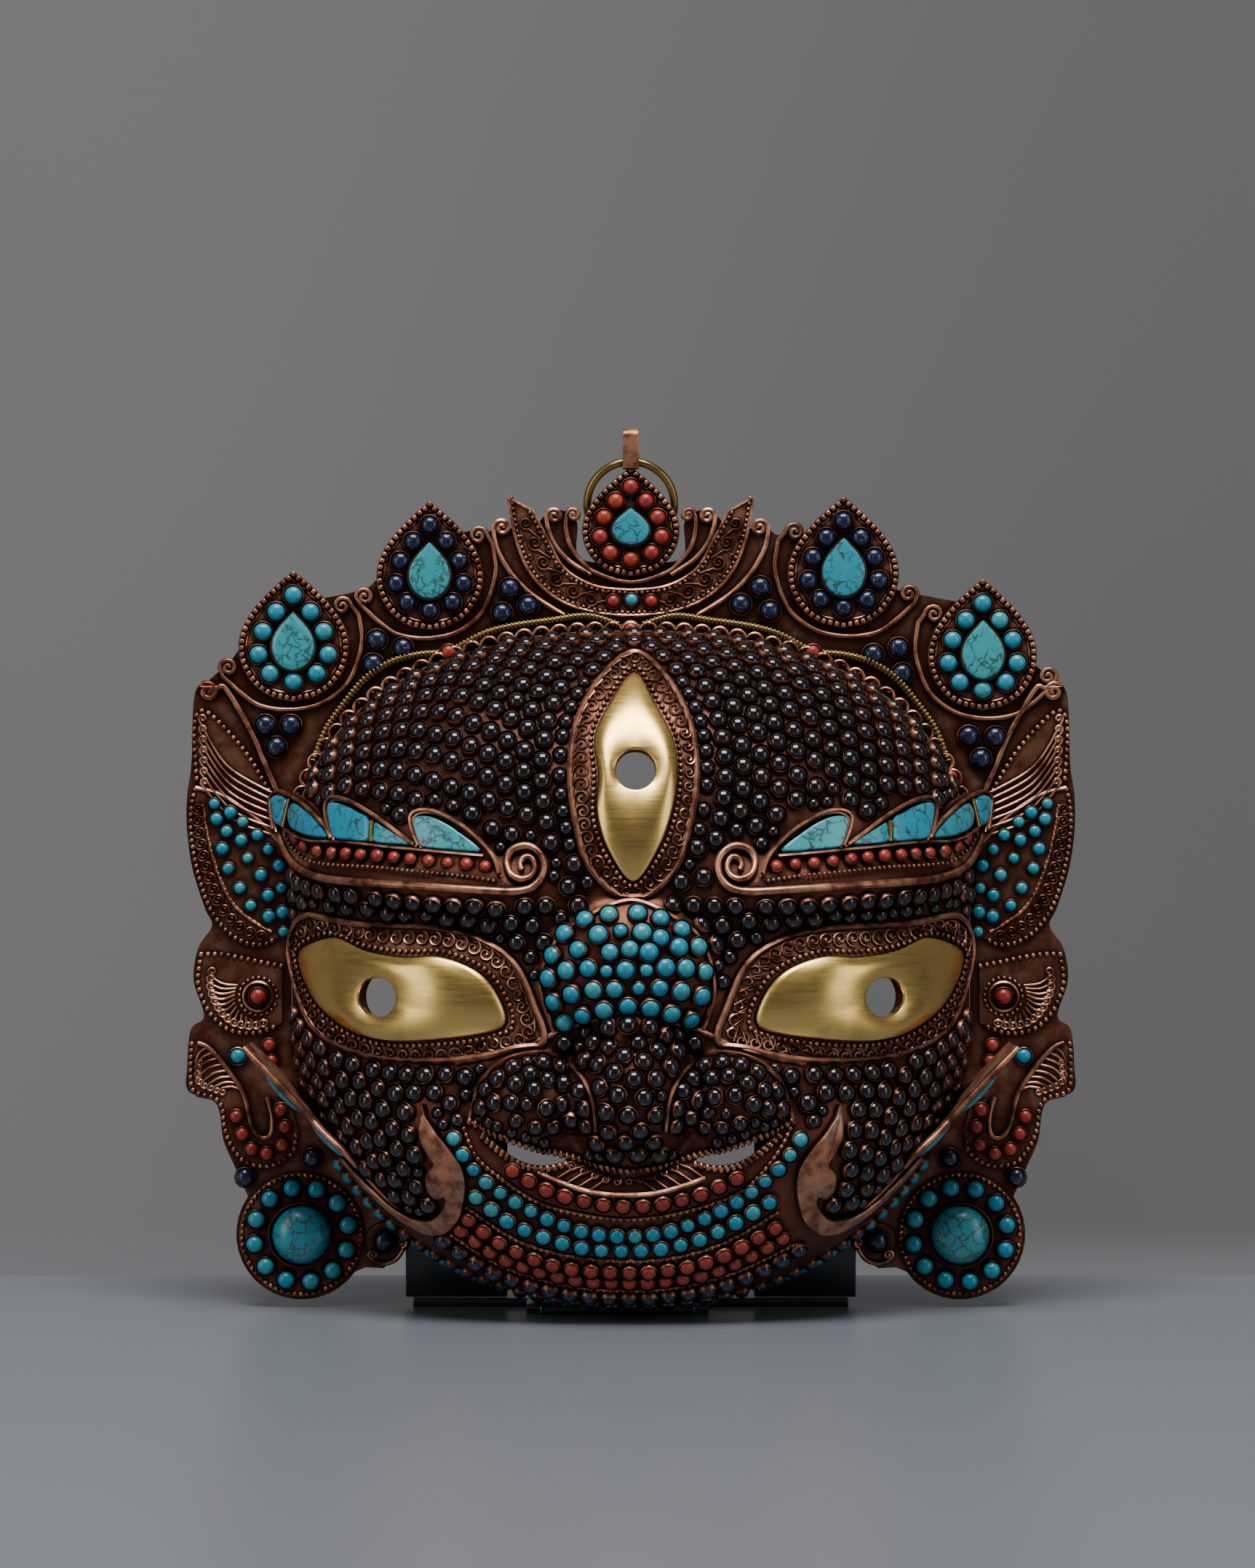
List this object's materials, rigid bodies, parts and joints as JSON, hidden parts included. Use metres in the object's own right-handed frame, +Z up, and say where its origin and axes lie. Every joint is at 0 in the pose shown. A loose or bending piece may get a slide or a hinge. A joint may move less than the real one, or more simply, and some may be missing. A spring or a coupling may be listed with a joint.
{
  "type": "ritual mask on a stand",
  "caption": "Raised copper ritual mask with three pierced brass eyes, a petal crown and stone-set ornament, standing upright on its black stand.",
  "frame": {"origin": "on the underside of the stand's base, on the mask's middle line, below the front plane of the back plate", "axes": "+Z up, the mask's face looks along -Y, +X to the right as seen from the front"},
  "size_m": [0.2444, 0.1396, 0.2422],
  "materials": {
    "oxidised_copper": "hammered and soldered copper sheet and wire, dark red-brown in the recesses, bright on the edges",
    "satin_brass": "satin brushed brass sheet",
    "turquoise": "polished turquoise with dark matrix veins",
    "lapis": "polished lapis lazuli with pale specks",
    "coral": "polished orange-red coral with small pits",
    "black_lacquer": "glossy black stand"
  },
  "bodies": {
    "root": {"back_plate": "oxidised_copper", "brow_flames_left": "oxidised_copper", "brow_flames_right": "oxidised_copper", "brow_rail_left": "oxidised_copper", "brow_rail_right": "oxidised_copper", "cradle_centre": "oxidised_copper", "cradle_left_inner": "oxidised_copper", "cradle_left_outer": "oxidised_copper", "cradle_right_inner": "oxidised_copper", "cradle_right_outer": "oxidised_copper", "crown_arc_centre_left": "satin_brass", "crown_arc_centre_right": "satin_brass", "crown_arc_side_left": "satin_brass", "crown_arc_side_right": "satin_brass", "crown_crescent": "oxidised_copper", "drop_stone_centre": "coral", "drop_stone_left_inner": "lapis", "drop_stone_left_outer": "turquoise", "drop_stone_right_inner": "lapis", "drop_stone_right_outer": "turquoise", "ear_fan_left": "oxidised_copper", "ear_fan_right": "oxidised_copper", "eye_frame_left": "oxidised_copper", "eye_frame_right": "oxidised_copper", "eye_frame_third": "oxidised_copper", "eye_plate_left": "satin_brass", "eye_plate_right": "satin_brass", "eye_plate_third": "satin_brass", "face_shell": "oxidised_copper", "hanging_bail": "oxidised_copper", "hanging_ring": "satin_brass", "hook_scroll_left": "oxidised_copper", "hook_scroll_right": "oxidised_copper", "jaw_scroll_left": "oxidised_copper", "jaw_scroll_right": "oxidised_copper", "leaf_left": "oxidised_copper", "leaf_right": "oxidised_copper", "petal_centre": "oxidised_copper", "petal_left_inner": "oxidised_copper", "petal_left_outer": "oxidised_copper", "petal_right_inner": "oxidised_copper", "petal_right_outer": "oxidised_copper", "roundel_left": "oxidised_copper", "roundel_right": "oxidised_copper", "roundel_stone_left": "turquoise", "roundel_stone_right": "turquoise", "stand_base": "black_lacquer", "stand_upright_left": "black_lacquer", "stand_upright_right": "black_lacquer", "upper_fan_left": "oxidised_copper", "upper_fan_right": "oxidised_copper", "whisker_hook_left": "oxidised_copper", "whisker_hook_right": "oxidised_copper", "whisker_tray_left": "oxidised_copper", "whisker_tray_right": "oxidised_copper"}
  },
  "joints": []
}
